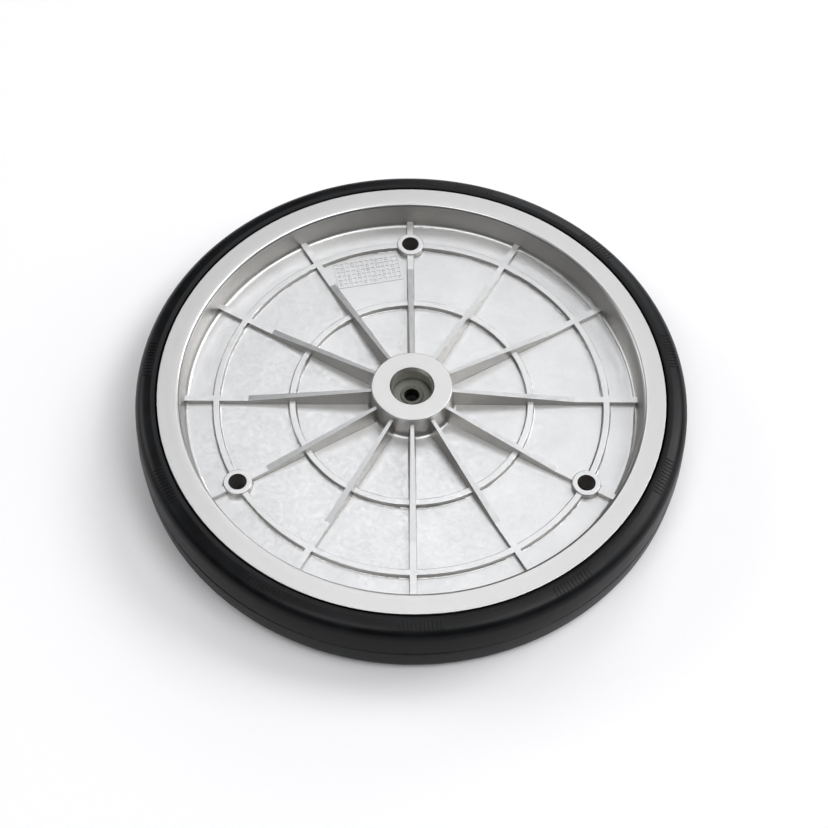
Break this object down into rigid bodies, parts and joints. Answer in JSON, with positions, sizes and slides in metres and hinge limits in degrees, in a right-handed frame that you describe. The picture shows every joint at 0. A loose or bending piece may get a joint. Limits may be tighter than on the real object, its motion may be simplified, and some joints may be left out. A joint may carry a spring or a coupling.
{
  "type": "wheel",
  "caption": "Cast aluminium disc wheel with radial and ring ribs, a solid rubber tyre, a bolt circle and sealed ball bearings on a plain axle bore.",
  "frame": {"origin": "centre of the wheel: on its axis, midway between its two faces", "axes": "+Z along the wheel's axis, towards the face shown; +Y through one bolt hole; the wheel lies flat"},
  "size_m": [0.3, 0.3, 0.0394],
  "materials": {
    "cast_aluminium": "satin die-cast",
    "tyre_rubber": "matt black rubber",
    "bearing_steel": "ground",
    "ball_steel": "polished",
    "cage_steel": "pressed",
    "seal_rubber": "matt",
    "spacer_aluminium": "turned"
  },
  "bodies": {
    "axle_set": {"upper_inner_ring": "bearing_steel", "lower_inner_ring": "bearing_steel", "spacer_sleeve": "spacer_aluminium"},
    "wheel": {"wheel_casting": "cast_aluminium", "tyre": "tyre_rubber", "upper_outer_ring": "bearing_steel", "upper_seal_outward": "seal_rubber", "upper_seal_inward": "seal_rubber", "lower_outer_ring": "bearing_steel", "lower_seal_outward": "seal_rubber", "lower_seal_inward": "seal_rubber"},
    "upper_ball_train": {"upper_balls": "ball_steel", "upper_cage_outward": "cage_steel", "upper_cage_inward": "cage_steel"},
    "lower_ball_train": {"lower_balls": "ball_steel", "lower_cage_outward": "cage_steel", "lower_cage_inward": "cage_steel"}
  },
  "joints": [
    {"name": "wheel_spin", "type": "hinge", "parent": "axle_set", "child": "wheel", "pos_m": [0, 0, 0], "axis": [0, 0, 1], "continuous": true},
    {"name": "upper_ball_orbit", "type": "hinge", "parent": "axle_set", "child": "upper_ball_train", "pos_m": [0, 0, 0.0065], "axis": [0, 0, 1], "continuous": true},
    {"name": "lower_ball_orbit", "type": "hinge", "parent": "axle_set", "child": "lower_ball_train", "pos_m": [0, 0, -0.0065], "axis": [0, 0, 1], "continuous": true}
  ],
  "couplings": [
    {"joint": "upper_ball_orbit", "follows": "wheel_spin", "ratio": 0.6323},
    {"joint": "lower_ball_orbit", "follows": "wheel_spin", "ratio": 0.6323}
  ]
}
